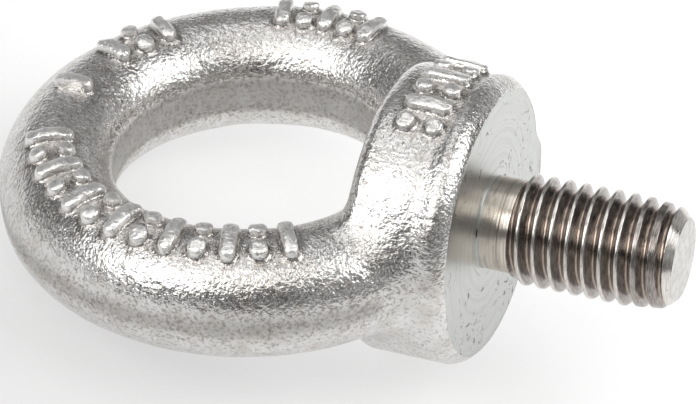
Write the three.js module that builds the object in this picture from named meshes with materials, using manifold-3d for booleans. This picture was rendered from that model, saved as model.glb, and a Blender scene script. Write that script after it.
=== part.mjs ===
// A lifting eye bolt of the common M12 size, forged in one piece with a machined shank.
//
// Millimetres. The origin is the centre of the machined seat face, +X runs out along the thread,
// the eye lies in the XY plane behind the collar, and +Z is square to the eye.
// The forging is divided into four regions that meet on flat planes square to X:
// the eye ring, the collar, the relief neck and the threaded shank.

import * as THREE from "three";
import { mergeVertices } from "three/addons/utils/BufferGeometryUtils.js";
import Module from "manifold-3d";

// Eye ring: a round bar bent to a ring, with its inner and outer walls trimmed flat.
const EYE_INNER_RADIUS = 14.9;
const EYE_OUTER_RADIUS = 26.8;
const EYE_CENTRE_X = -26.2;
const BAR_RADIUS = 6.5;

// Collar: a disc from two die halves that meet at Z = 0, the lower one larger and out of line.
const COLLAR_UPPER = { halfWidth: 15.5, height: 14.7, shiftY: -0.1, shiftZ: 0 };
const COLLAR_LOWER = { halfWidth: 15.9, height: 15.1, shiftY: 1, shiftZ: -0.6 };
const COLLAR_TRIM = { low: -15.3, high: 16.3 };
const COLLAR_THICKNESS = 11.1;
const COLLAR_BACK_ROUND = 1.8;
const COLLAR_RIM_ROUND = 2.4;
const COLLAR_RIM_OVERRUN = 0.4;

// Shank: M12 x 1.75, right-hand, behind a turned relief neck.
const THREAD_RADIUS = 5.9;
const THREAD_PITCH = 1.75;
const THREAD_DEPTH = 0.6134 * THREAD_PITCH;
const THREAD_CREST_WIDTH = THREAD_PITCH / 8;
const THREAD_START_X = 0.185;
const FLANK_SLOPE = Math.tan(Math.PI / 6);
const SHANK_LENGTH = 20.5;
const TIP_CHAMFER = 1.6;
const NECK_LENGTH = 3.2;
const NECK_RADIUS = 4.85;
const NECK_FILLET = 0.5;
const RUNOUT_LENGTH = 1.1;

// Raised marks, in turn a plain bar with round ends and a pair of round studs.
const MARK_HEIGHT = 0.9;
const BAR_WIDTH = 1.65;
const STUD_WIDTH = 1.9;
const STUD_SPREAD = 1.5;
const RING_MARK_GROUPS = [
  { from: -154, step: 8, count: 13, length: 5.2, offset: 0.3 },
  { from: 140, step: 9, count: 3, length: 4.4, offset: 0 },
  { from: 178, step: 9, count: 1, length: 4.4, offset: 0 },
  { from: 75, step: 7, count: 5, length: 4.6, offset: 0.3 },
];
const COLLAR_MARKS = { from: 58, step: 10.4, count: 6, length: 5, centreX: -5.6 };

// How finely round shapes are divided.
const RING_STEPS = 72;
const BAR_STEPS = 24;
const COLLAR_STEPS = 60;
const THREAD_STEPS = 24;
const ARC_STEPS = 4;

const BAR_CENTRE_RADIUS = (EYE_INNER_RADIUS + EYE_OUTER_RADIUS) / 2;
const THREAD_ROOT_RADIUS = THREAD_RADIUS - THREAD_DEPTH;
const SPLIT_X = -12.5;
const CLEAR = 5;
const REACH = 2 * EYE_OUTER_RADIUS + CLEAR;
const SMALL = 0.15;

const wasm = await Module();
wasm.setup();

// A closed three.js geometry as a manifold-3d solid.
function solid(geometry) {
  const bare = geometry.clone();
  bare.deleteAttribute("normal");
  bare.deleteAttribute("uv");
  const merged = mergeVertices(bare, 1e-4);
  return new wasm.Manifold(
    new wasm.Mesh({
      numProp: 3,
      vertProperties: merged.attributes.position.array,
      triVerts: new Uint32Array(merged.index.array),
    }),
  );
}

// A manifold-3d solid as a three.js geometry.
function geometryOf(body) {
  const { vertProperties, triVerts } = body.getMesh();
  const geometry = new THREE.BufferGeometry();
  geometry.setAttribute("position", new THREE.BufferAttribute(vertProperties, 3));
  geometry.setIndex(new THREE.BufferAttribute(triVerts, 1));
  geometry.computeVertexNormals();
  return geometry;
}

// A profile of (x, radius) points turned about the X axis.
function turned(profile, steps) {
  const points = profile.map(([x, radius]) => new THREE.Vector2(radius, x));
  const geometry = new THREE.LatheGeometry(points, steps);
  geometry.rotateZ(-Math.PI / 2);
  return geometry;
}

// Points (x, radius) of an arc about a centre, from one angle to another in degrees.
function arc(x, radius, size, fromDeg, toDeg) {
  const points = [];
  for (let i = 0; i <= ARC_STEPS; i += 1) {
    const angle = THREE.MathUtils.degToRad(fromDeg + ((toDeg - fromDeg) * i) / ARC_STEPS);
    points.push([x + size * Math.cos(angle), radius + size * Math.sin(angle)]);
  }
  return points;
}

// A box between two corners.
function block(low, high) {
  const size = high.map((value, i) => value - low[i]);
  const geometry = new THREE.BoxGeometry(...size);
  geometry.translate(...low.map((value, i) => value + size[i] / 2));
  return solid(geometry);
}

// The ring of bar, grown all round by a given amount.
function bar(growth) {
  const geometry = new THREE.TorusGeometry(
    BAR_CENTRE_RADIUS,
    BAR_RADIUS + growth,
    BAR_STEPS,
    RING_STEPS,
  );
  geometry.translate(EYE_CENTRE_X, 0, 0);
  return solid(geometry);
}

// The upright band that the inner and outer walls of the eye are trimmed to.
function trimBand() {
  const height = BAR_RADIUS + CLEAR;
  const corners = [
    [EYE_INNER_RADIUS, -height],
    [EYE_OUTER_RADIUS, -height],
    [EYE_OUTER_RADIUS, height],
    [EYE_INNER_RADIUS, height],
    [EYE_INNER_RADIUS, -height],
  ];
  const points = corners.map(([radius, z]) => new THREE.Vector2(radius, z));
  const geometry = new THREE.LatheGeometry(points, RING_STEPS);
  geometry.rotateX(Math.PI / 2);
  geometry.translate(EYE_CENTRE_X, 0, 0);
  return solid(geometry);
}

// One die half of the collar, grown outwards by a given amount.
// The round of its rim would run on past the seat face, and is cut off there.
function collarHalf({ halfWidth, height, shiftY, shiftZ }, growth, zLow, zHigh) {
  const radius = height + growth;
  const back = -COLLAR_THICKNESS;
  const rim = COLLAR_RIM_OVERRUN - COLLAR_RIM_ROUND;
  const seatDeg = THREE.MathUtils.radToDeg(Math.acos(-rim / COLLAR_RIM_ROUND));
  const profile = [
    [back, 0],
    ...arc(back + COLLAR_BACK_ROUND, radius - COLLAR_BACK_ROUND, COLLAR_BACK_ROUND, 180, 90),
    ...arc(rim, radius - COLLAR_RIM_ROUND, COLLAR_RIM_ROUND, 90, seatDeg),
    [0, 0],
  ];
  const room = block(
    [-REACH, COLLAR_TRIM.low - growth, zLow],
    [REACH, COLLAR_TRIM.high + growth, zHigh],
  );
  return solid(turned(profile, COLLAR_STEPS))
    .scale([1, halfWidth / height, 1])
    .translate([0, shiftY, shiftZ])
    .intersect(room);
}

function collar(growth) {
  const upper = collarHalf(COLLAR_UPPER, growth, 0, REACH);
  return upper.add(collarHalf(COLLAR_LOWER, growth, -REACH, 0));
}

// The fillet from the seat face down to the neck, with a root inside the collar.
function neckFillet() {
  const radius = NECK_RADIUS + NECK_FILLET;
  const profile = [
    [-NECK_FILLET, 0],
    [-NECK_FILLET, radius],
    ...arc(NECK_FILLET, radius, NECK_FILLET, 180, 270),
    [NECK_FILLET, 0],
  ];
  return solid(turned(profile, COLLAR_STEPS));
}

// An upright bar with round ends, lying along X and centred on the origin.
function markBlank(length, width, low, high) {
  const half = (length - width) / 2;
  const outline = new THREE.Shape();
  outline.absarc(half, 0, width / 2, -Math.PI / 2, Math.PI / 2);
  outline.absarc(-half, 0, width / 2, Math.PI / 2, (3 * Math.PI) / 2);
  const geometry = new THREE.ExtrudeGeometry(outline, {
    depth: high - low,
    bevelEnabled: false,
    curveSegments: ARC_STEPS,
  });
  geometry.translate(0, 0, low);
  return geometry;
}

// The blanks of one group of marks: each is set along its line and then turned to its angle.
function markGroup({ from, step, count, length }, low, high, place) {
  return Array.from({ length: count }, (_, i) => {
    const angle = THREE.MathUtils.degToRad(from + step * i);
    const studs = [-STUD_SPREAD, STUD_SPREAD].map((along) => [along, STUD_WIDTH, STUD_WIDTH]);
    const blanks = i % 2 === 0 ? [[0, length, BAR_WIDTH]] : studs;
    return blanks.map(([along, size, width]) => {
      const geometry = markBlank(size, width, low, high);
      geometry.translate(along, 0, 0);
      return solid(place(geometry, angle));
    });
  }).flat();
}

// The marks on the upper side of the eye, each lying along a radius of the ring.
function ringMarks() {
  const marks = RING_MARK_GROUPS.flatMap((group) =>
    markGroup(group, BAR_RADIUS / 2, BAR_RADIUS + CLEAR, (geometry, angle) => {
      geometry.translate(BAR_CENTRE_RADIUS + group.offset, 0, 0);
      geometry.rotateZ(angle);
      return geometry.translate(EYE_CENTRE_X, 0, 0);
    }),
  );
  return wasm.Manifold.union(marks).intersect(bar(MARK_HEIGHT));
}

// The marks on the collar's upper side, each lying along X.
function collarMarks() {
  const low = COLLAR_UPPER.height - COLLAR_BACK_ROUND;
  const high = COLLAR_UPPER.height + CLEAR;
  const marks = markGroup(COLLAR_MARKS, low, high, (geometry, angle) => {
    geometry.rotateX(angle - Math.PI / 2);
    return geometry.translate(COLLAR_MARKS.centreX, 0, 0);
  });
  return wasm.Manifold.union(marks).intersect(collar(MARK_HEIGHT));
}

// The eye, the collar and their marks, before the eye and the collar are divided.
// The ring of bar stops inside the collar, short of the seat face.
function forging() {
  const behindSeat = block([-2 * REACH, -REACH, -REACH], [-NECK_FILLET, REACH, REACH]);
  return wasm.Manifold.union([
    bar(0).intersect(trimBand()).intersect(behindSeat),
    collar(0),
    neckFillet(),
    ringMarks(),
    collarMarks(),
  ]);
}

// The neck between the collar's fillet and the thread.
function neck() {
  return turned(
    [
      [NECK_FILLET, 0],
      [NECK_FILLET, NECK_RADIUS],
      [NECK_LENGTH, NECK_RADIUS],
      [NECK_LENGTH, 0],
    ],
    COLLAR_STEPS,
  );
}

// The thread's ridge: its section is extruded straight, then each step is wound onto the helix.
// The section's second axis turns to -X, which keeps the faces pointing out.
function threadRidge() {
  const base = THREAD_ROOT_RADIUS - SMALL;
  const crest = THREAD_CREST_WIDTH / 2;
  const foot = crest + (THREAD_RADIUS - base) * FLANK_SLOPE;
  const section = new THREE.Shape([
    new THREE.Vector2(base, -foot),
    new THREE.Vector2(THREAD_RADIUS, -crest),
    new THREE.Vector2(THREAD_RADIUS, crest),
    new THREE.Vector2(base, foot),
  ]);
  const firstTurn = Math.floor(NECK_LENGTH / THREAD_PITCH) - 1;
  const lastTurn = Math.ceil(SHANK_LENGTH / THREAD_PITCH) + 1;
  const turns = lastTurn - firstTurn;
  const geometry = new THREE.ExtrudeGeometry(section, {
    depth: turns,
    steps: turns * THREAD_STEPS,
    bevelEnabled: false,
  });
  const position = geometry.attributes.position;
  for (let i = 0; i < position.count; i += 1) {
    const radius = position.getX(i);
    const turn = firstTurn + position.getZ(i);
    const angle = turn * 2 * Math.PI;
    const x = THREAD_START_X + turn * THREAD_PITCH - position.getY(i);
    position.setXYZ(i, x, radius * Math.cos(angle), radius * Math.sin(angle));
  }
  return solid(geometry);
}

// The core and the ridge, cut to the chamfers at both ends.
function shank() {
  const core = turned(
    [
      [NECK_LENGTH - CLEAR, 0],
      [NECK_LENGTH - CLEAR, THREAD_ROOT_RADIUS],
      [SHANK_LENGTH + CLEAR, THREAD_ROOT_RADIUS],
      [SHANK_LENGTH + CLEAR, 0],
    ],
    THREAD_STEPS,
  );
  const envelope = turned(
    [
      [NECK_LENGTH, 0],
      [NECK_LENGTH, NECK_RADIUS],
      [NECK_LENGTH + RUNOUT_LENGTH, THREAD_RADIUS + SMALL],
      [SHANK_LENGTH - TIP_CHAMFER - SMALL, THREAD_RADIUS + SMALL],
      [SHANK_LENGTH, THREAD_RADIUS - TIP_CHAMFER],
      [SHANK_LENGTH, 0],
    ],
    THREAD_STEPS,
  );
  return solid(core).add(threadRidge()).intersect(solid(envelope));
}

const castSteel = new THREE.MeshStandardMaterial({
  color: 0xb9b6b1,
  roughness: 0.38,
  metalness: 1,
});
const turnedSteel = new THREE.MeshStandardMaterial({
  color: 0xb4b0a8,
  roughness: 0.25,
  metalness: 1,
});
const threadSteel = new THREE.MeshStandardMaterial({
  color: 0x8d837b,
  roughness: 0.3,
  metalness: 1,
});

function piece(name, geometry, material) {
  const mesh = new THREE.Mesh(geometry, material);
  mesh.name = name;
  return mesh;
}

const whole = forging();
const eyeSide = block([-2 * REACH, -REACH, -REACH], [SPLIT_X, REACH, REACH]);
const collarSide = block([SPLIT_X, -REACH, -REACH], [REACH, REACH, REACH]);

const eyeBolt = new THREE.Group();
eyeBolt.name = "eye_bolt";
eyeBolt.add(
  piece("eye_ring", geometryOf(whole.intersect(eyeSide)), castSteel),
  piece("collar", geometryOf(whole.intersect(collarSide)), castSteel),
  piece("relief_neck", neck(), turnedSteel),
  piece("threaded_shank", geometryOf(shank()), threadSteel),
);

export default eyeBolt;
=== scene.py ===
"""A lifting eye bolt lying on a pale table, in metres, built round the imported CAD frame.

The forging (eye and collar) is meshed from a signed distance field, so that the bar flows into the
collar as forged metal does. The seat face, the neck and the thread are turned shapes.
Lengths inside the shape functions are millimetres, and MM turns them into metres.
"""

import math

import bmesh
import bpy
import numpy as np
from mathutils import Matrix, Vector


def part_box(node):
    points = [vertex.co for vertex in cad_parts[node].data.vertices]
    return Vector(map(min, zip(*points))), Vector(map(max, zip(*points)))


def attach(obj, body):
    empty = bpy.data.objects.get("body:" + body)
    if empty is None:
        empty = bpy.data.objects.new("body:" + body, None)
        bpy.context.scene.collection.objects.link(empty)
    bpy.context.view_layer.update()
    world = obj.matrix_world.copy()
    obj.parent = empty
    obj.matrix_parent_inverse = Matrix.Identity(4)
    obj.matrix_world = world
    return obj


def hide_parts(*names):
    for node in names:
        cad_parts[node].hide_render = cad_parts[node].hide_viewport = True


MM = 0.001

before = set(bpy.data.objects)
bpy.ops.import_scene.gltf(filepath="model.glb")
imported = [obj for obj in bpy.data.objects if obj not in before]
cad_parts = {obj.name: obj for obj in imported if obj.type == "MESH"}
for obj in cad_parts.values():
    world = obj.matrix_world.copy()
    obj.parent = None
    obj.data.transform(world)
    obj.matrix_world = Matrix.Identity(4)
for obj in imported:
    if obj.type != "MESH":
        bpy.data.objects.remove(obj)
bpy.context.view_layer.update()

# ---------------------------------------------------------------------------------------------
# Sizes, in millimetres, taken from the frame where the frame has them.

ring_low, ring_high = (np.array(v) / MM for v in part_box("eye_ring"))
collar_low, collar_high = (np.array(v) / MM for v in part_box("collar"))
neck_low, neck_high = (np.array(v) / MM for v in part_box("relief_neck"))
shank_low, shank_high = (np.array(v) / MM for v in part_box("threaded_shank"))

EYE_OUTER = float(ring_high[1])
EYE_CENTRE_X = float(ring_low[0]) + EYE_OUTER
EYE_INNER = 14.9
BAR_HEIGHT_RADIUS = -float(ring_low[2])
BAR_HALF_WIDTH = 6.2
BAR_CENTRE = 20.72
COLLAR_UPPER = {"half_width": 15.5, "height": 14.7, "shift_y": -0.1, "shift_z": 0.0}
COLLAR_LOWER = {"half_width": 15.9, "height": 15.1, "shift_y": 1.0, "shift_z": -0.6}
COLLAR_TRIM = {"low": -15.3, "high": 16.3}
COLLAR_THICKNESS = 11.1
COLLAR_BACK_ROUND = 1.7
COLLAR_RIM_ROUND = 2.4
COLLAR_RIM_OVERRUN = 0.4
PARTING_DEPTHS = (-2.2, 1.0)
BEAD_HEIGHT = 0.16
BEAD_X = -1.7
GROOVE_X = -3.6
BEAD_FADE = (3.0, 9.0)
EYE_BLEND = 2.2
TRIM_BLEND = 2.6
TRIM_EDGE = 0.4

FILLET_RADIUS = 0.05
FILLET_END = float(neck_low[0])
NECK_RADIUS = float(neck_high[1])
NECK_END = float(neck_high[0])
NECK_RIPPLE = 0.004
NECK_RIPPLE_RATE = 37.0
SHANK_END = float(shank_high[0])
THREAD_RADIUS = 5.76
THREAD_PITCH = 1.75
THREAD_DEPTH = 0.6134 * THREAD_PITCH
THREAD_START_X = 0.185
CREST_HALF_WIDTH = THREAD_PITCH / 14
CREST_ROUND = 0.07
ROOT_ROUND = 0.12
START_STEP = 0.12
START_SLOPE = 0.95
TAPER_START = 15.4
TAPER_SLOPE = 0.13
TIP_RADIUS = 4.25
TIP_ROUND = 0.12
BLANK_ROUND = 0.05

MARK_HEIGHT = 0.95
MARK_WIDTH = 1.65
MARK_FOOT = 0.5
MARK_SHOULDER = 0.4
MARK_FLOOR_Z = 2.0
STUD_WIDTH = 1.9
STUD_SPREAD = 1.5
RING_MARKS = (
    {"start": -154.0, "step": 8.0, "count": 13, "length": 5.2, "offset": 0.3},
    {"start": 140.0, "step": 9.0, "count": 3, "length": 4.4, "offset": 0.0},
    {"start": 178.0, "step": 9.0, "count": 1, "length": 4.4, "offset": 0.0},
    {"start": 75.0, "step": 7.0, "count": 5, "length": 4.6, "offset": 0.3},
)
COLLAR_MARKS = {"start": 58.0, "step": 10.4, "count": 6, "length": 5.0}
COLLAR_MARKS_X = -5.6
MARKS_SPLIT_X = -12.0
FAR = 9.0

GRID = 0.305
DENTS = ((0.08, 5.0, 1), (0.02, 1.9, 2))
GRAIN_DENT = (0.012, 0.8, 3)
MARK_DENT = (0.10, 0.9, 4)

# ---------------------------------------------------------------------------------------------
# Camera: the photographed viewpoint, a long lens about 0.4 m from the bolt.

VIEW_AZIMUTH = math.radians(22.35)
VIEW_ELEVATION = math.radians(35.35)
VIEW_ROLL = math.radians(-2.06)
VIEW_DISTANCE = 406.6
VIEW_TARGET = np.array([-15.0, 0.0, 0.0])
AIM_OFFSET = (-0.652, -0.822)
LENS = 202.3
SENSOR = 36.0
CLIP = (0.01, 20.0)


def make_camera():
    """Places the camera round the target, rolled a little and aimed a little beside it."""
    sin_a, cos_a = math.sin(VIEW_AZIMUTH), math.cos(VIEW_AZIMUTH)
    sin_e, cos_e = math.sin(VIEW_ELEVATION), math.cos(VIEW_ELEVATION)
    back = np.array([sin_a * cos_e, -cos_a * cos_e, sin_e])
    level = np.array([cos_a, sin_a, 0.0])
    upright = np.cross(back, level)
    right = math.cos(VIEW_ROLL) * level + math.sin(VIEW_ROLL) * upright
    up = math.cos(VIEW_ROLL) * upright - math.sin(VIEW_ROLL) * level
    place = VIEW_TARGET + VIEW_DISTANCE * back
    aim = VIEW_TARGET + AIM_OFFSET[0] * right + AIM_OFFSET[1] * up
    toward = (place - aim) / np.linalg.norm(place - aim)
    across = np.cross(up, toward)
    across /= np.linalg.norm(across)
    above = np.cross(toward, across)
    data = bpy.data.cameras.new("camera")
    data.lens = LENS
    data.sensor_width = SENSOR
    data.clip_start, data.clip_end = CLIP
    camera = bpy.data.objects.new("camera", data)
    rows = [[across[i], above[i], toward[i], place[i] * MM] for i in range(3)]
    camera.matrix_world = Matrix([*rows, [0.0, 0.0, 0.0, 1.0]])
    bpy.context.scene.collection.objects.link(camera)
    bpy.context.scene.camera = camera


make_camera()

# ---------------------------------------------------------------------------------------------
# Small numeric tools.


def smooth_min(a, b, size):
    """The lesser of two distances, blended over a fillet of the given size."""
    mix = np.clip(0.5 + 0.5 * (b - a) / size, 0.0, 1.0)
    return b + (a - b) * mix - size * mix * (1.0 - mix)


def smooth_max(a, b, size):
    return -smooth_min(-a, -b, size)


def smooth_step(value, low, high):
    t = np.clip((value - low) / (high - low), 0.0, 1.0)
    return t * t * (3.0 - 2.0 * t)


def lattice_value(ix, iy, iz, seed):
    """A repeatable pseudo-random number from 0 to 1 at each lattice corner."""
    mixed = ix * 73856093 ^ iy * 19349663 ^ iz * 83492791 ^ seed * 2654435761
    mixed = (mixed ^ (mixed >> 13)) * 1274126177 & 0x7FFFFFFF
    mixed = (mixed ^ (mixed >> 16)) & 0xFFFFF
    return mixed / float(0xFFFFF)


def noise(points, size, seed):
    """Smooth value noise from -1 to 1 whose features are about size millimetres."""
    scaled = points / size
    base = np.floor(scaled)
    part = scaled - base
    part = part * part * (3.0 - 2.0 * part)
    cell = base.astype(np.int64) + 4096
    total = np.zeros(len(points))
    for dx in (0, 1):
        for dy in (0, 1):
            for dz in (0, 1):
                weight = np.ones(len(points))
                for axis, step in enumerate((dx, dy, dz)):
                    weight *= part[:, axis] if step else 1.0 - part[:, axis]
                corner = lattice_value(cell[:, 0] + dx, cell[:, 1] + dy, cell[:, 2] + dz, seed)
                total += weight * corner
    return 2.0 * total - 1.0


# ---------------------------------------------------------------------------------------------
# The forging's shape.


def eye_distance(x, y, z):
    """A ring of bar, a little slimmer across than it is high."""
    around = np.hypot(x - EYE_CENTRE_X, y)
    across = (around - BAR_CENTRE) * BAR_HEIGHT_RADIUS / BAR_HALF_WIDTH
    return np.hypot(across, z) - BAR_HEIGHT_RADIUS


def rounded_pair(a, b, size):
    """The greater of two distances, with a true round of the given size."""
    a, b = a + size, b + size
    outside = np.hypot(np.maximum(a, 0.0), np.maximum(b, 0.0))
    return outside + np.minimum(np.maximum(a, b), 0.0) - size


def collar_distance(x, y, z):
    """A disc from two die halves, round at the back and at the rim, that runs on past the seat.

    A faint bead follows the upper rim, with a faint groove behind it.
    """
    lower = smooth_step(-z, *PARTING_DEPTHS)
    half = {
        key: upper + (COLLAR_LOWER[key] - upper) * lower for key, upper in COLLAR_UPPER.items()
    }
    across = (y - half["shift_y"]) * half["height"] / half["half_width"]
    side = np.hypot(across, z - half["shift_z"]) - half["height"]
    bead = BEAD_HEIGHT * smooth_step(z, *BEAD_FADE)
    side -= bead * (np.exp(-((x - BEAD_X) ** 2)) - np.exp(-((x - GROOVE_X) ** 2)))
    behind = rounded_pair(-x - COLLAR_THICKNESS, side, COLLAR_BACK_ROUND)
    return np.maximum(behind, rounded_pair(x - COLLAR_RIM_OVERRUN, side, COLLAR_RIM_ROUND))


def trim_distance(x, y):
    """The upright outline that the forging's edge is trimmed to."""
    around = np.hypot(x - EYE_CENTRE_X, y)
    sides = np.maximum(COLLAR_TRIM["low"] - y, y - COLLAR_TRIM["high"])
    collar = np.maximum(sides, -x - COLLAR_THICKNESS)
    outer = smooth_min(around - EYE_OUTER, collar, TRIM_BLEND)
    return np.maximum(outer, EYE_INNER - around)


def bare_forging(x, y, z):
    """The forging as it leaves the dies, and the same after trimming, both without marks."""
    body = smooth_min(eye_distance(x, y, z), collar_distance(x, y, z), EYE_BLEND)
    return body, smooth_max(body, trim_distance(x, y), TRIM_EDGE)


def group_distance(turn, along, reach, marks):
    """Distance from a group of marks: in turn a bar with round ends and a pair of round studs.

    turn is in degrees round the group's axis at radius reach, and along is measured on the bars.
    """
    index = np.clip(np.round((turn - marks["start"]) / marks["step"]), 0, marks["count"] - 1)
    across = np.radians(turn - marks["start"] - index * marks["step"]) * reach
    bar = np.hypot(np.maximum(np.abs(along) - (marks["length"] - MARK_WIDTH) / 2, 0.0), across)
    stud = np.hypot(np.abs(along) - STUD_SPREAD, across)
    return np.where(index % 2 == 0, bar - MARK_WIDTH / 2, stud - STUD_WIDTH / 2)


def mark_distance(x, y, z):
    """Distance across the surface from the nearest raised mark."""
    angle = np.degrees(np.arctan2(y, x - EYE_CENTRE_X))
    around = np.hypot(x - EYE_CENTRE_X, y)
    nearest = np.full(x.shape, FAR)
    for marks in RING_MARKS:
        along = around - BAR_CENTRE - marks["offset"]
        nearest = np.minimum(nearest, group_distance(angle, along, around, marks))
    turn = np.degrees(np.arctan2(z, y))
    on_collar = group_distance(turn, x - COLLAR_MARKS_X, COLLAR_UPPER["height"], COLLAR_MARKS)
    nearest = np.where(x < MARKS_SPLIT_X, nearest, on_collar)
    return np.where(z > MARK_FLOOR_Z, np.minimum(nearest, FAR), FAR)


def forging(x, y, z):
    """The whole forging with its marks; the marks' tops follow the surface below them."""
    _, body = bare_forging(x, y, z)
    raised = smooth_max(mark_distance(x, y, z), body - MARK_HEIGHT, MARK_SHOULDER)
    return smooth_min(body, raised, MARK_FOOT)


# ---------------------------------------------------------------------------------------------
# Surface nets: one vertex for each grid cell that the surface crosses.


def surface_net(distance, low, high, step):
    """Points and outward quads where the distance field is zero, between two corners."""
    axes = [np.arange(low[i], high[i] + step, step) for i in range(3)]
    x, y, z = np.meshgrid(*axes, indexing="ij", sparse=True)
    values = distance(*np.broadcast_arrays(x, y, z))
    inside = values < 0
    shape = [n - 1 for n in values.shape]
    corners = [(i, j, k) for i in (0, 1) for j in (0, 1) for k in (0, 1)]
    count = np.zeros(shape, np.int8)
    for i, j, k in corners:
        count += inside[i : i + shape[0], j : j + shape[1], k : k + shape[2]]
    crossed = (count > 0) & (count < len(corners))
    number = np.full(shape, -1, np.int64)
    number[crossed] = np.arange(crossed.sum())
    cells = np.argwhere(crossed)
    total = np.zeros((len(cells), 3))
    hits = np.zeros(len(cells))
    for a in corners:
        for axis in range(3):
            if a[axis]:
                continue
            b = tuple(1 if n == axis else a[n] for n in range(3))
            va = values[tuple((cells + a).T)]
            vb = values[tuple((cells + b).T)]
            cut = (va < 0) != (vb < 0)
            share = np.where(cut, va / np.where(cut, va - vb, 1.0), 0.0)
            point = np.array(a, float) + share[:, None] * (np.array(b) - a)
            total += np.where(cut[:, None], point, 0.0)
            hits += cut
    points = (cells + total / hits[:, None]) * step + np.array(low)
    quads = []
    for axis in range(3):
        one, two = [n for n in range(3) if n != axis]
        ahead = np.roll(inside, -1, axis)
        change = inside != ahead
        last = [slice(None)] * 3
        last[axis] = slice(-1, None)
        change[tuple(last)] = False
        edges = np.argwhere(change)
        keep = (edges[:, one] > 0) & (edges[:, two] > 0)
        edges = edges[keep & (edges[:, one] < shape[one]) & (edges[:, two] < shape[two])]
        ring = []
        for di, dj in ((-1, -1), (0, -1), (0, 0), (-1, 0)):
            cell = edges.copy()
            cell[:, one] += di
            cell[:, two] += dj
            ring.append(number[tuple(cell.T)])
        ring = np.stack(ring, 1)
        outward = inside[tuple(edges.T)]
        flip = outward if axis != 1 else ~outward
        quads.append(np.where(flip[:, None], ring, ring[:, ::-1]))
    return points, np.concatenate(quads)


def slope(distance, points, step=0.02):
    """The distance field's direction of steepest rise, at each point."""
    rise = []
    for axis in range(3):
        shift = np.zeros(3)
        shift[axis] = step
        ahead, behind = points + shift, points - shift
        rise.append(distance(*ahead.T) - distance(*behind.T))
    return np.stack(rise, 1) / (2 * step)


def settle(distance, points, rounds):
    """Moves points onto the surface along the field's slope."""
    for _ in range(rounds):
        rise = slope(distance, points)
        value = distance(*points.T)
        points = points - rise * (value / np.maximum((rise**2).sum(1), 0.2))[:, None]
    return points


# ---------------------------------------------------------------------------------------------
# Turning numbers into Blender pieces.


def mesh_object(name, points, faces, materials):
    """A smooth-shaded piece from points in millimetres and faces of equal length."""
    mesh = bpy.data.meshes.new(name)
    mesh.vertices.add(len(points))
    mesh.vertices.foreach_set("co", (np.asarray(points) * MM).ravel())
    width = faces.shape[1]
    mesh.loops.add(faces.size)
    mesh.loops.foreach_set("vertex_index", faces.ravel())
    mesh.polygons.add(len(faces))
    mesh.polygons.foreach_set("loop_start", np.arange(0, faces.size, width))
    mesh.update(calc_edges=True)
    mesh.polygons.foreach_set("use_smooth", np.ones(len(faces), bool))
    for material in materials:
        mesh.materials.append(material)
    piece = bpy.data.objects.new(name, mesh)
    bpy.context.scene.collection.objects.link(piece)
    return piece


def settle_piece(piece, slot, *nodes):
    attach(piece, "root")
    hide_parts(*nodes)


# ---------------------------------------------------------------------------------------------
# Materials. Bump depths are in millimetres, and a negative one sinks.

RANGE_SOCKETS = ("From Min", "From Max", "To Min", "To Max")
FACTOR, FIRST, SECOND, MIXED = 0, 6, 7, 2

CAST = {
    "dim": (0.67, 0.66, 0.64, 1.0),
    "clear": (0.77, 0.76, 0.75, 1.0),
    "speck": (0.30, 0.28, 0.27, 1.0),
    "stain": (0.42, 0.35, 0.29, 1.0),
    # Painted shade round the feet of the raised marks.
    "crease_shade": (0.24, 0.21, 0.19, 1.0),
    # Painted highlight on the tops of the raised marks.
    "mark": (0.95, 0.94, 0.92, 1.0),
    "land": (0.42, 0.41, 0.395, 1.0),
    # Painted shade along the line where the trimmed walls start.
    "trim_line_shade": (0.20, 0.17, 0.15, 1.0),
    "soot": (0.13, 0.095, 0.07, 1.0),
}
CAST_BUMP = 0.105

TURNED = {
    "face_dim": (0.51, 0.52, 0.50, 1.0),
    "face_clear": (0.59, 0.60, 0.58, 1.0),
    "neck_dim": (0.55, 0.49, 0.43, 1.0),
    "neck_clear": (0.85, 0.78, 0.70, 1.0),
    "arc": (0.28, 0.27, 0.25, 1.0),
    "pit": (0.10, 0.09, 0.085, 1.0),
}
TOOL_BUMP = 0.006
RING_BUMP = 0.012
PIT_BUMP = -0.10

THREAD = {
    # The flanks' dark tones are painted shade.
    "flank_shade_dim": (0.21, 0.19, 0.178, 1.0),
    "flank_shade_clear": (0.42, 0.385, 0.36, 1.0),
    # The crests' light tones are a painted highlight.
    "crest_highlight_dim": (0.48, 0.45, 0.42, 1.0),
    "crest_highlight_clear": (0.74, 0.71, 0.68, 1.0),
    "root": (0.46, 0.33, 0.24, 1.0),
    "tip_dim": (0.56, 0.53, 0.49, 1.0),
    "tip_clear": (0.74, 0.72, 0.69, 1.0),
    "end_dim": (0.42, 0.41, 0.39, 1.0),
    "end_clear": (0.60, 0.59, 0.57, 1.0),
    "pit": (0.12, 0.10, 0.09, 1.0),
}
DRAG_BUMP = 0.012
THREAD_PIT_BUMP = -0.06


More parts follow.
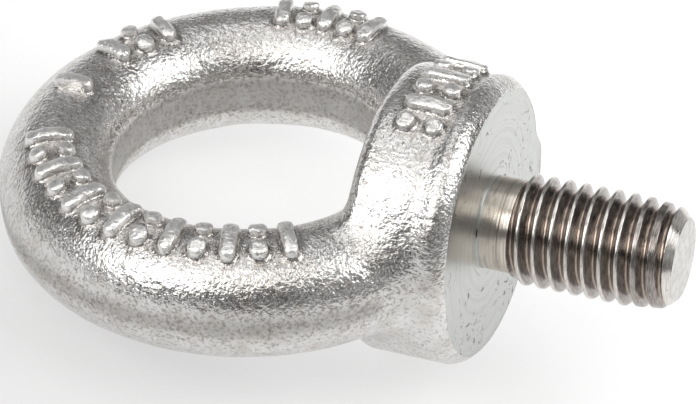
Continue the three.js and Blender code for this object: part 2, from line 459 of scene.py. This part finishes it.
class Nodes:
    """A short way to write a node tree."""

    def __init__(self, name):
        self.material = bpy.data.materials.new(name)
        self.material.use_nodes = True
        self.tree = self.material.node_tree
        self.tree.nodes.clear()
        self.shader = self.add("ShaderNodeBsdfPrincipled")
        self.shader.inputs["Metallic"].default_value = 1.0
        output = self.add("ShaderNodeOutputMaterial")
        self.link(self.shader.outputs["BSDF"], output.inputs["Surface"])
        coordinates = self.add("ShaderNodeTexCoord")
        self.place = self.vector("SCALE", coordinates.outputs["Object"], scale=1.0 / MM)

    def add(self, kind, **settings):
        node = self.tree.nodes.new(kind)
        for key, value in settings.items():
            setattr(node, key, value)
        return node

    def link(self, source, target):
        self.tree.links.new(source, target)

    def feed(self, socket, value):
        if isinstance(value, bpy.types.NodeSocket):
            self.link(value, socket)
        else:
            socket.default_value = value

    def vector(self, operation, a, b=None, scale=None):
        node = self.add("ShaderNodeVectorMath", operation=operation)
        self.feed(node.inputs[0], a)
        if b is not None:
            self.feed(node.inputs[1], b)
        if scale is not None:
            self.feed(node.inputs["Scale"], scale)
        return node.outputs["Value" if operation == "LENGTH" else "Vector"]

    def math(self, operation, a, b=0.0, clamp=False):
        node = self.add("ShaderNodeMath", operation=operation, use_clamp=clamp)
        self.feed(node.inputs[0], a)
        self.feed(node.inputs[1], b)
        return node.outputs[0]

    def noise(self, size, detail=2.0, vector=None, rough=0.5, distortion=0.0):
        """Noise from 0 to 1 whose features are about size millimetres."""
        node = self.add("ShaderNodeTexNoise", noise_dimensions="3D")
        self.feed(node.inputs["Vector"], self.place if vector is None else vector)
        node.inputs["Scale"].default_value = 1.0 / size
        node.inputs["Detail"].default_value = detail
        node.inputs["Roughness"].default_value = rough
        node.inputs["Distortion"].default_value = distortion
        return node.outputs[0]

    def remap(self, value, low, high, to_low=0.0, to_high=1.0):
        node = self.add("ShaderNodeMapRange", clamp=True, interpolation_type="SMOOTHSTEP")
        self.feed(node.inputs["Value"], value)
        for key, number in zip(RANGE_SOCKETS, (low, high, to_low, to_high)):
            self.feed(node.inputs[key], number)
        return node.outputs[0]

    def mix(self, factor, a, b):
        node = self.add("ShaderNodeMix", data_type="RGBA")
        self.feed(node.inputs[FACTOR], factor)
        self.feed(node.inputs[FIRST], a)
        self.feed(node.inputs[SECOND], b)
        return node.outputs[MIXED]

    def separate(self, vector):
        node = self.add("ShaderNodeSeparateXYZ")
        self.link(vector, node.inputs[0])
        return node.outputs

    def combine(self, x, y, z):
        node = self.add("ShaderNodeCombineXYZ")
        for socket, value in zip(node.inputs, (x, y, z)):
            self.feed(socket, value)
        return node.outputs[0]

    def radius_about_x(self):
        """Distance from the thread's axis in millimetres."""
        return self.vector("LENGTH", self.vector("MULTIPLY", self.place, (0.0, 1.0, 1.0)))

    def attribute(self, name):
        return self.add("ShaderNodeAttribute", attribute_name=name).outputs["Fac"]

    def bump(self, height, depth, below=None):
        """Height from 0 to 1, standing for a depth in millimetres."""
        node = self.add("ShaderNodeBump")
        node.inputs["Strength"].default_value = 1.0
        node.inputs["Distance"].default_value = depth * MM
        self.feed(node.inputs["Height"], height)
        if below is not None:
            self.link(below, node.inputs["Normal"])
        return node.outputs["Normal"]


def cast_material():
    """Bright blasted stainless: a glossy fine grain, and smoother, duller trimmed lands."""
    n = Nodes("cast_steel")
    land = n.attribute("land")
    mark = n.attribute("mark")
    crease_shade = n.attribute("crease_shade")
    trim_line_shade = n.attribute("trim_line_shade")
    patchy = n.math("MULTIPLY", land, n.remap(n.noise(1.8, detail=4.0), 0.40, 0.58, 1.0, 0.45))
    calm = n.remap(patchy, 0.0, 1.0, 1.0, 0.35)
    grain = n.noise(0.36, detail=2.0, rough=0.6, distortion=0.25)
    lumps = n.noise(0.8, detail=1.0)
    height = n.math("MULTIPLY", n.math("ADD", grain, n.math("MULTIPLY", lumps, 0.8)), calm)
    broad = n.noise(2.6, detail=2.0)
    height = n.math("ADD", height, n.math("MULTIPLY", broad, 0.8))
    height = n.math("ADD", height, n.math("MULTIPLY", n.noise(0.9), n.math("MULTIPLY", mark, 0.8)))
    n.feed(n.shader.inputs["Normal"], n.bump(height, CAST_BUMP))
    tone = n.mix(n.remap(broad, 0.3, 0.7), CAST["dim"], CAST["clear"])
    speck = n.remap(n.noise(0.4, detail=3.0, rough=0.7), 0.50, 0.68)
    tone = n.mix(n.math("MULTIPLY", speck, 0.65), tone, CAST["speck"])
    stain = n.remap(n.noise(2.2, detail=5.0, rough=0.75), 0.50, 0.66)
    tone = n.mix(n.math("MULTIPLY", stain, 0.3), tone, CAST["stain"])
    # Painted shade: the metal round the marks' feet is darkened.
    tone = n.mix(n.math("MULTIPLY", crease_shade, 0.55), tone, CAST["crease_shade"])
    # Painted highlight: the raised marks' tops are mixed towards near-white.
    tone = n.mix(n.math("MULTIPLY", mark, 0.85), tone, CAST["mark"])
    tone = n.mix(n.math("MULTIPLY", land, 0.65), tone, CAST["land"])
    # Painted shade: a dark, broken line along the top of the trimmed walls.
    broken = n.remap(n.noise(0.4, detail=3.0, rough=0.7), 0.46, 0.60, 0.1, 0.45)
    tone = n.mix(n.math("MULTIPLY", trim_line_shade, broken), tone, CAST["trim_line_shade"])
    cloud = n.remap(n.noise(6.0, detail=3.0), 0.44, 0.62, 0.2, 1.0)
    soot = n.math("MULTIPLY", n.remap(n.noise(0.32, detail=3.0, rough=0.75), 0.50, 0.64), cloud)
    soot = n.math("MULTIPLY", soot, n.remap(land, 0.0, 1.0, 0.08, 0.42))
    tone = n.mix(soot, tone, CAST["soot"])
    n.feed(n.shader.inputs["Base Color"], tone)
    gloss = n.remap(n.noise(0.8, detail=3.0), 0.3, 0.7, 0.10, 0.20)
    dull = n.math("MAXIMUM", n.math("MULTIPLY", land, 0.38), n.math("MULTIPLY", mark, 0.16))
    n.feed(n.shader.inputs["Roughness"], n.math("ADD", gloss, dull))
    return n.material


def turned_material():
    """Turned stainless: rings of tool marks round the axis, pits, scratches, a warmer neck."""
    n = Nodes("turned_steel")
    radius = n.radius_about_x()
    along = n.separate(n.place)[0]
    lathe = n.combine(n.math("ADD", radius, along), 0.0, 0.0)
    tool = n.noise(0.11, detail=2.0, vector=lathe, rough=0.7)
    wander = n.math("MULTIPLY", n.noise(5.0), 1.4)
    rings = n.noise(0.45, detail=3.0, vector=n.combine(n.math("ADD", radius, along), wander, 0.0))
    patch = n.remap(n.noise(6.0, detail=1.0), 0.46, 0.56)
    pits = n.math("MULTIPLY", n.remap(n.noise(0.9, detail=3.0, distortion=1.2), 0.63, 0.66), patch)
    drawn = n.vector("MULTIPLY", n.place, (1.0, 0.7, 0.45))
    scratch = n.remap(n.noise(0.9, detail=2.0, vector=drawn, distortion=0.8), 0.70, 0.72)
    on_face = n.remap(along, 0.02, 0.1, 1.0, 0.0)
    marks = n.math("MULTIPLY", n.math("MAXIMUM", pits, scratch), on_face)
    cut = n.bump(tool, TOOL_BUMP, n.bump(rings, RING_BUMP))
    n.feed(n.shader.inputs["Normal"], n.bump(marks, PIT_BUMP, cut))
    face = n.mix(n.remap(rings, 0.3, 0.7), TURNED["face_dim"], TURNED["face_clear"])
    neck = n.mix(n.remap(rings, 0.3, 0.7), TURNED["neck_dim"], TURNED["neck_clear"])
    tone = n.mix(n.remap(along, 0.1, 0.5), face, neck)
    arcs = n.math("MULTIPLY", n.remap(rings, 0.60, 0.70), 0.5)
    tone = n.mix(arcs, tone, TURNED["arc"])
    tone = n.mix(n.math("MULTIPLY", marks, 0.85), tone, TURNED["pit"])
    n.feed(n.shader.inputs["Base Color"], tone)
    gloss = n.remap(tool, 0.3, 0.7, 0.17, 0.27)
    n.feed(n.shader.inputs["Roughness"], n.math("ADD", gloss, n.remap(along, 0.1, 0.5, 0.10, 0.0)))
    return n.material


def thread_material():
    """Cut stainless thread: dark brown flanks as painted shade, pale crests as a painted
    highlight, a pale turned tip.
    """
    n = Nodes("thread_steel")
    stretched = n.vector("MULTIPLY", n.place, (9.0, 1.0, 1.0))
    drag = n.noise(1.1, detail=4.0, vector=stretched, rough=0.7)
    pits = n.remap(n.noise(0.4, detail=2.0), 0.70, 0.74)
    n.feed(n.shader.inputs["Normal"], n.bump(pits, THREAD_PIT_BUMP, n.bump(drag, DRAG_BUMP)))
    radius = n.radius_about_x()
    along = n.separate(n.place)[0]
    # Painted highlight: the outermost band of the thread is mixed to a light tone.
    crest = n.remap(radius, THREAD_RADIUS - 0.26, THREAD_RADIUS - 0.02)
    smear = n.remap(drag, 0.35, 0.65)
    # Painted shade: the flanks take a dark brown tone.
    flank = n.mix(smear, THREAD["flank_shade_dim"], THREAD["flank_shade_clear"])
    crest_highlight = n.mix(smear, THREAD["crest_highlight_dim"], THREAD["crest_highlight_clear"])
    root = n.remap(radius, THREAD_RADIUS - 1.05, THREAD_RADIUS - 0.85, 0.3, 0.0)
    flank = n.mix(root, flank, THREAD["root"])
    tone = n.mix(crest, flank, crest_highlight)
    tip_line = SHANK_END + TIP_RADIUS
    tip = n.remap(n.math("ADD", radius, along), tip_line - 0.16, tip_line - 0.04)
    end = n.remap(along, SHANK_END - 0.06, SHANK_END - 0.02)
    tone = n.mix(tip, tone, n.mix(smear, THREAD["tip_dim"], THREAD["tip_clear"]))
    tone = n.mix(end, tone, n.mix(smear, THREAD["end_dim"], THREAD["end_clear"]))
    tone = n.mix(n.math("MULTIPLY", pits, 0.7), tone, THREAD["pit"])
    n.feed(n.shader.inputs["Base Color"], tone)
    n.feed(n.shader.inputs["Roughness"], n.remap(drag, 0.3, 0.7, 0.14, 0.26))
    return n.material


cast_steel = cast_material()
turned_steel = turned_material()
thread_steel = thread_material()

# ---------------------------------------------------------------------------------------------
# The forging: eye, collar, seat face and the fillet down to the neck.

MARGIN = 1.2
SETTLE_ROUNDS = 3
LAND_FADE = (-0.05, 0.2)
LAND_CALM = 0.8
MARK_FADE = (0.15, 0.6)
CREASE_SHADE_FADE = (-1.1, -0.1)
CREASE_SHADE_TOP = (0.1, 0.5)
# Where the painted shade along the trimmed walls' top line lies, and how wide it is.
TRIM_SHADE_BEHIND = 0.1
TRIM_SHADE_WIDTH = 0.3
SEAT_RINGS = 14
FILLET_RINGS = 5
SEAT_CREASE = math.radians(40)


def make_forging():
    """The forging's mesh, with masks for its material.

    land marks the trimmed walls and mark the raised marks, whose tops get a painted highlight;
    the other two mark painted shade, round the marks' feet and where the trimmed walls start.
    """
    bottom = COLLAR_LOWER["shift_z"] - COLLAR_LOWER["height"]
    top = COLLAR_UPPER["height"] + MARK_HEIGHT
    low = (ring_low[0] - MARGIN, -EYE_OUTER - MARGIN, bottom - MARGIN)
    high = (MARGIN, EYE_OUTER + MARGIN, top + MARGIN)
    points, quads = surface_net(forging, low, high, GRID)
    ahead = points[:, 0] > MARGIN / 2
    quads = quads[~ahead[quads].any(1)]
    used = np.unique(quads)
    number = np.zeros(len(points), np.int64)
    number[used] = np.arange(len(used))
    points, quads = settle(forging, points[used], SETTLE_ROUNDS), number[quads]
    x, y, z = points.T
    body, bare = bare_forging(x, y, z)
    trimmed = trim_distance(x, y) - body
    land = smooth_step(trimmed, *LAND_FADE)
    mark = smooth_step(bare, *MARK_FADE)
    # Mask for the painted shade round the marks' feet, taken off their tops.
    crease_shade = smooth_step(-mark_distance(x, y, z), *CREASE_SHADE_FADE)
    crease_shade *= 1.0 - smooth_step(bare, *CREASE_SHADE_TOP)
    # Mask for the painted shade along the line where the trimmed walls start.
    trim_line_shade = np.exp(-(((trimmed - TRIM_SHADE_BEHIND) / TRIM_SHADE_WIDTH) ** 2))
    normal = slope(forging, points)
    normal /= np.linalg.norm(normal, axis=1, keepdims=True)
    bump = sum(depth * noise(points, size, seed) for depth, size, seed in DENTS)
    bump += GRAIN_DENT[0] * noise(points, *GRAIN_DENT[1:]) * (1.0 - LAND_CALM * land)
    bump += MARK_DENT[0] * noise(points, *MARK_DENT[1:]) * mark
    points = points + normal * bump[:, None]
    piece = mesh_object("forging", points, quads, [cast_steel, turned_steel])
    masks = {"land": land, "mark": mark, "crease_shade": crease_shade, "trim_line_shade": trim_line_shade}
    for name, values in masks.items():
        layer = piece.data.attributes.new(name, "FLOAT", "POINT")
        layer.data.foreach_set("value", values.astype(np.float32))
    add_seat(piece)
    return piece


def add_seat(piece):
    """Cuts the forging at the seat plane and closes it with the turned face and the fillet."""
    bm = bmesh.new()
    bm.from_mesh(piece.data)
    bmesh.ops.bisect_plane(
        bm,
        geom=[*bm.verts, *bm.edges, *bm.faces],
        plane_co=(0, 0, 0),
        plane_no=(1, 0, 0),
        clear_outer=True,
    )
    rim = [v for v in bm.verts if v.is_boundary]
    rim.sort(key=lambda v: math.atan2(v.co.z, v.co.y))
    seat_inner = NECK_RADIUS + FILLET_RADIUS
    inner = rim
    turns = [math.atan2(v.co.z, v.co.y) for v in rim]
    outer = [math.hypot(v.co.y, v.co.z) / MM for v in rim]
    rows = []
    for i in range(1, SEAT_RINGS + 1):
        share = i / SEAT_RINGS
        rows.append([(0.0, r + (seat_inner - r) * share) for r in outer])
    for i in range(1, FILLET_RINGS + 1):
        turn = math.pi / 2 * i / FILLET_RINGS
        x = FILLET_RADIUS * (1.0 - math.cos(turn))
        radius = seat_inner - FILLET_RADIUS * math.sin(turn)
        rows.append([(x, radius)] * len(rim))
    rows.append([(FILLET_END, NECK_RADIUS)] * len(rim))
    for row in rows:
        ring = []
        for (x, radius), turn in zip(row, turns):
            place = (x, radius * math.cos(turn), radius * math.sin(turn))
            ring.append(bm.verts.new([c * MM for c in place]))
        for i, vert in enumerate(ring):
            j = (i + 1) % len(ring)
            face = bm.faces.new((inner[i], inner[j], ring[j], vert))
            face.material_index = 1
            face.smooth = True
        inner = ring
    cap = bm.faces.new(inner)
    cap.material_index = 1
    bmesh.ops.recalc_face_normals(bm, faces=bm.faces)
    bm.to_mesh(piece.data)
    bm.free()
    piece.data.set_sharp_from_angle(angle=SEAT_CREASE)


forging_piece = make_forging()
settle_piece(forging_piece, "cast_steel", "eye_ring", "collar")

# ---------------------------------------------------------------------------------------------
# Turned pieces: rows of points round the X axis, closed by a flat cap at each end.

AROUND = 192
NECK_ROWS = 24
SHANK_STEP = 0.045
TURNED_CREASE = math.radians(38)


def revolve(name, x_of, radius_of, rows, material):
    """A closed piece whose row i lies at x_of(i), with radius radius_of(x, turn)."""
    turn = np.linspace(0.0, 2 * math.pi, AROUND, endpoint=False)
    points = []
    for i in range(rows):
        x = x_of(i) + np.zeros(AROUND)
        radius = radius_of(x, turn)
        points.append(np.stack([x, radius * np.cos(turn), radius * np.sin(turn)], 1))
    points = np.concatenate(points)
    i, j = np.meshgrid(np.arange(rows - 1), np.arange(AROUND), indexing="ij")
    k = (j + 1) % AROUND
    here, ahead = i * AROUND, (i + 1) * AROUND
    quads = np.stack([here + j, here + k, ahead + k, ahead + j], -1)
    piece = mesh_object(name, points, quads.reshape(-1, 4)[:, ::-1], [material])
    bm = bmesh.new()
    bm.from_mesh(piece.data)
    bm.verts.ensure_lookup_table()
    for first in (0, (rows - 1) * AROUND):
        ring = [bm.verts[first + j] for j in range(AROUND)]
        cap = bm.faces.new(ring)
        cap.smooth = True
    bmesh.ops.recalc_face_normals(bm, faces=bm.faces)
    bm.to_mesh(piece.data)
    bm.free()
    piece.data.set_sharp_from_angle(angle=TURNED_CREASE)
    return piece


def make_neck():
    step = (NECK_END - FILLET_END) / (NECK_ROWS - 1)

    def x_of(i):
        return FILLET_END + i * step

    def radius_of(x, turn):
        return NECK_RADIUS + NECK_RIPPLE * np.sin(x * NECK_RIPPLE_RATE)

    return revolve("relief_neck_turned", x_of, radius_of, NECK_ROWS, turned_steel)


neck_piece = make_neck()
settle_piece(neck_piece, "turned_steel", "relief_neck")


def thread_radius(x, turn):
    """The thread's radius at a place: 60 degree flanks with a narrow crest and a rounded root."""
    phase = (x - THREAD_START_X) / THREAD_PITCH - turn / (2 * math.pi)
    away = np.abs(phase - np.round(phase)) * THREAD_PITCH
    flank = THREAD_RADIUS - (away - CREST_HALF_WIDTH) * math.sqrt(3.0)
    crested = smooth_min(flank, THREAD_RADIUS, CREST_ROUND)
    return smooth_max(crested, THREAD_RADIUS - THREAD_DEPTH, ROOT_ROUND)


def blank_radius(x):
    """The turned blank that the thread is cut in: a cone at the start, a taper and a chamfer."""
    start = NECK_RADIUS + START_STEP + (x - NECK_END) * START_SLOPE
    taper = THREAD_RADIUS - np.maximum(x - TAPER_START, 0.0) * TAPER_SLOPE
    tip = TIP_RADIUS + (SHANK_END - x)
    return smooth_min(smooth_min(tip, taper, TIP_ROUND), start, BLANK_ROUND)


def make_shank():
    rows = int(round((SHANK_END - NECK_END) / SHANK_STEP)) + 1
    step = (SHANK_END - NECK_END) / (rows - 1)

    def x_of(i):
        return NECK_END + i * step

    def radius_of(x, turn):
        return smooth_min(thread_radius(x, turn), blank_radius(x), BLANK_ROUND)

    return revolve("threaded_shank_cut", x_of, radius_of, rows, thread_steel)


shank_piece = make_shank()
settle_piece(shank_piece, "thread_steel", "threaded_shank")

# ---------------------------------------------------------------------------------------------
# Table and light.

TILT_LIMIT = math.radians(30.0)
TILT_ROUNDS = 30
TABLE_HALF = 4.0
TABLE_GAP = 0.02
TABLE_SLANT = 0.4
TABLE_TONES = (0.37, 0.40)
TABLE_GLOW = (0.45, 0.84)
TABLE_FADE = 60.0
DARK_SIDE = (-0.20, -0.94, 0.28)
ROOM_LEVELS = (0.4, 0.93, 0.27, 0.16)
ROOM_CLUTTER = (0.36, 0.64, 0.35, 1.9)
CLUTTER_SCALE = 3.5
CLUTTER_DETAIL = 1.0
BACKDROP_SIDE = (0.0, 1.0, 0.0)
BACKDROP_LEVELS = (0.965, 0.985, 0.0, 0.97)
WHITE = (1.0, 1.0, 1.0)
SOFTBOXES = (
    {"name": "key_left", "azimuth": -32.0, "elevation": 43.0, "distance": 0.60,
     "size": (0.42, 0.36), "radiance": 2.9, "tint": WHITE},
    {"name": "front_top", "azimuth": 16.0, "elevation": 57.0, "distance": 0.60,
     "size": (0.40, 0.32), "radiance": 1.3, "tint": (1.0, 0.96, 0.91)},
    {"name": "key_right", "azimuth": 96.0, "elevation": 42.0, "distance": 0.60,
     "size": (0.38, 0.40), "radiance": 2.9, "tint": WHITE},
    {"name": "overhead", "azimuth": -110.0, "elevation": 78.0, "distance": 0.62,
     "size": (0.40, 0.34), "radiance": 0.9, "tint": WHITE},
)


def table_tilt():
    """The table's slope and depth under a bolt that lies on its eye's end and its collar's rim."""

    def lowest(node, tilt):
        down = np.array([-math.sin(tilt), 0.0, -math.cos(tilt)])
        points = np.array([v.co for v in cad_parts[node].data.vertices])
        return (points @ down).max()

    low, high = 0.0, TILT_LIMIT
    for _ in range(TILT_ROUNDS):
        middle = (low + high) / 2
        if lowest("eye_ring", middle) < lowest("collar", middle):
            low = middle
        else:
            high = middle
    return low, lowest("collar", low)


def make_table():
    """A white table whose surface glows as painted light, a little, and more so behind the bolt.
    """
    tilt, depth = table_tilt()
    normal = Vector((math.sin(tilt), 0.0, math.cos(tilt)))
    n = Nodes("table_white")
    n.shader.inputs["Metallic"].default_value = 0.0
    n.shader.inputs["Roughness"].default_value = 0.6
    n.shader.inputs["Emission Color"].default_value = (*WHITE, 1.0)
    place = n.separate(n.place)
    # Painted light: the table's surface glows, more so behind the bolt.
    behind = n.math("ADD", place[1], n.math("MULTIPLY", place[0], TABLE_SLANT))
    glow = n.remap(behind, -TABLE_FADE, TABLE_FADE, *TABLE_GLOW)
    n.feed(n.shader.inputs["Emission Strength"], glow)
    shade = n.remap(n.noise(60.0, detail=2.0), 0.3, 0.7, *TABLE_TONES)
    n.feed(n.shader.inputs["Base Color"], shade)
    corners = np.array([(-1, -1, 0), (1, -1, 0), (1, 1, 0), (-1, 1, 0)])
    points = corners * TABLE_HALF / MM
    table = mesh_object("table", points, np.array([[0, 1, 2, 3]]), [n.material])
    table.rotation_euler = (0.0, tilt, 0.0)
    table.location = normal * -(depth + TABLE_GAP * MM)


def softbox(name, azimuth, elevation, distance, size, radiance, tint):
    """A flat light at an azimuth and elevation as seen from the bolt, in the view's convention."""
    a, e = math.radians(azimuth), math.radians(elevation)
    away = Vector((math.sin(a) * math.cos(e), -math.cos(a) * math.cos(e), math.sin(e)))
    data = bpy.data.lights.new(name, "AREA")
    data.shape = "RECTANGLE"
    data.size, data.size_y = size
    data.energy = radiance * math.pi * size[0] * size[1]
    data.color = tint
    light = bpy.data.objects.new(name, data)
    light.location = Vector(VIEW_TARGET * MM) + away * distance
    light.rotation_mode = "QUATERNION"
    light.rotation_quaternion = away.to_track_quat("Z", "Y")
    bpy.context.scene.collection.objects.link(light)


def make_world():
    """A dim, uneven room, darkest on the camera's side, and a pale backdrop behind the bolt."""
    world = bpy.data.worlds.new("studio")
    world.use_nodes = True
    tree = world.node_tree
    direction = tree.nodes.new("ShaderNodeTexCoord").outputs["Generated"]

    def facing(side):
        node = tree.nodes.new("ShaderNodeVectorMath")
        node.operation = "DOT_PRODUCT"
        node.inputs[1].default_value = side
        tree.links.new(direction, node.inputs[0])
        return node.outputs["Value"]

    def graded(value, levels):
        node = tree.nodes.new("ShaderNodeMapRange")
        node.interpolation_type = "SMOOTHSTEP"
        for key, number in zip(RANGE_SOCKETS, levels):
            node.inputs[key].default_value = number
        tree.links.new(value, node.inputs["Value"])
        return node.outputs[0]

    def join(operation, a, b):
        node = tree.nodes.new("ShaderNodeMath")
        node.operation = operation
        tree.links.new(a, node.inputs[0])
        tree.links.new(b, node.inputs[1])
        return node.outputs[0]

    clutter = tree.nodes.new("ShaderNodeTexNoise")
    clutter.inputs["Scale"].default_value = CLUTTER_SCALE
    clutter.inputs["Detail"].default_value = CLUTTER_DETAIL
    tree.links.new(direction, clutter.inputs["Vector"])
    room = graded(facing(DARK_SIDE), ROOM_LEVELS)
    room = join("MULTIPLY", room, graded(clutter.outputs[0], ROOM_CLUTTER))
    level = join("MAXIMUM", room, graded(facing(BACKDROP_SIDE), BACKDROP_LEVELS))
    tree.links.new(level, tree.nodes["Background"].inputs["Color"])
    bpy.context.scene.world = world


make_table()
for settings in SOFTBOXES:
    softbox(**settings)
make_world()
bpy.context.scene.view_settings.view_transform = "Standard"
